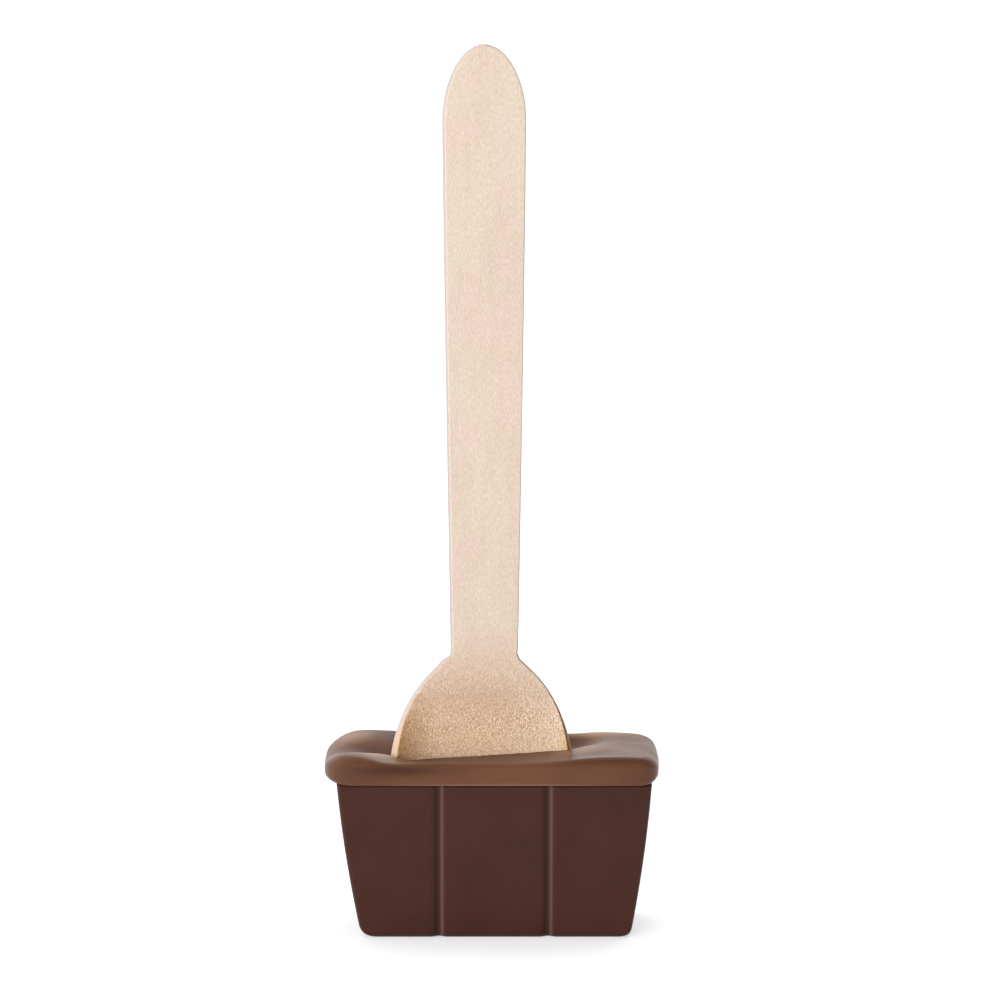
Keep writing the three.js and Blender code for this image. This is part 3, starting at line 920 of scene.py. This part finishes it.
def make_sky(stage):
    """White light that brightens with the dot product of its direction and the bright side.

    That side is behind, half way up and a little to the left.
    """
    bright_side, brightest_from = (-0.3, 0.75, 0.6), 0.8
    world = bpy.data.worlds.new("studio")
    world.use_nodes = True
    tree = world.node_tree
    direction = add_node(tree, "ShaderNodeTexCoord").outputs["Generated"]
    towards = add_node(
        tree, "ShaderNodeVectorMath", {0: direction, 1: bright_side}, operation="DOT_PRODUCT"
    ).outputs["Value"]
    background = tree.nodes["Background"]
    background.inputs["Color"].default_value = (1, 1, 1, 1)
    strength = spread(tree, towards, 0.0, brightest_from, stage.dim_sky, stage.bright_sky)
    tree.links.new(strength, background.inputs["Strength"])
    bpy.context.scene.world = world


def make_soft_light(stage, name, power, azimuth, elevation, distance, width, height, mirrored=False):
    """A soft box that faces the object, its angles in degrees from the camera's side and the floor."""
    azimuth, elevation = math.radians(azimuth), math.radians(elevation)
    level = math.cos(elevation)
    away = np.array([math.sin(azimuth) * level, -math.cos(azimuth) * level, math.sin(elevation)])
    lamp = bpy.data.lights.new(name, "AREA")
    lamp.shape = "RECTANGLE"
    lamp.energy, lamp.size, lamp.size_y = power, width, height
    light = bpy.data.objects.new(name, lamp)
    light.location = np.array([0, 0, stage.aim_height]) + away * distance
    light.rotation_euler = (math.pi / 2 - elevation, 0, azimuth)
    light.visible_camera = False
    light.visible_glossy = mirrored
    bpy.context.scene.collection.objects.link(light)


def make_light(stage):
    """A sky, a soft box in front on the left, one high up behind and a strip light on the left."""
    bpy.context.scene.view_settings.view_transform = "Standard"
    make_sky(stage)
    make_soft_light(
        stage, "key", stage.key, azimuth=-24, elevation=11, distance=1.2, width=0.8, height=0.5
    )
    make_soft_light(
        stage, "back_light", stage.back, azimuth=170, elevation=60, distance=1.1, width=1.4, height=0.9
    )
    make_soft_light(
        stage, "strip_light", stage.strip, azimuth=-80, elevation=6, distance=1.1, width=0.3,
        height=0.7, mirrored=True,
    )


def make_camera(stage):
    """A long lens in front, a little above the block, looking slightly down."""
    lens = bpy.data.cameras.new("camera")
    lens.lens = stage.lens
    lens.clip_end = 100
    camera = bpy.data.objects.new("camera", lens)
    camera.location = (
        stage.aim_side,
        -stage.distance * math.cos(stage.elevation),
        stage.aim_height + stage.distance * math.sin(stage.elevation),
    )
    camera.rotation_euler = (math.pi / 2 - stage.elevation, 0, 0)
    bpy.context.scene.collection.objects.link(camera)
    bpy.context.scene.camera = camera


class VIEW3D_PT_chocolate_spoon(Panel):
    """Lists the pieces of the chocolate spoon"""

    bl_label = "Chocolate spoon"
    bl_space_type = "VIEW_3D"
    bl_region_type = "UI"
    bl_category = "Chocolate spoon"

    def draw(self, context):
        for settings_name, operator in PIECES:
            settings = getattr(context.scene, settings_name)
            box = self.layout.box()
            for key in settings.bl_rna.properties.keys():
                if key not in {"rna_type", "name"}:
                    box.prop(settings, key)
            box.operator(operator.bl_idname)


PIECES = (
    ("chocolate_spoon_wood", OBJECT_OT_chocolate_spoon_wood),
    ("chocolate_spoon_block", OBJECT_OT_chocolate_spoon_block),
    ("chocolate_spoon_layer", OBJECT_OT_chocolate_spoon_layer),
    ("chocolate_spoon_stage", SCENE_OT_chocolate_spoon_stage),
)
SETTINGS = (ChocolateSpoonWood, ChocolateSpoonBlock, ChocolateSpoonLayer, ChocolateSpoonStage)
CLASSES = (*SETTINGS, *(operator for name, operator in PIECES), VIEW3D_PT_chocolate_spoon)


def register():
    for each in CLASSES:
        bpy.utils.register_class(each)
    for (name, operator), settings in zip(PIECES, SETTINGS):
        setattr(bpy.types.Scene, name, PointerProperty(type=settings))


def unregister():
    for name, operator in PIECES:
        delattr(bpy.types.Scene, name)
    for each in reversed(CLASSES):
        bpy.utils.unregister_class(each)


def main():
    register()
    bpy.ops.scene.chocolate_spoon_stage()
    bpy.ops.object.chocolate_spoon_wood()
    bpy.ops.object.chocolate_spoon_block()
    bpy.ops.object.chocolate_spoon_layer()


if __name__ == "__main__":
    main()
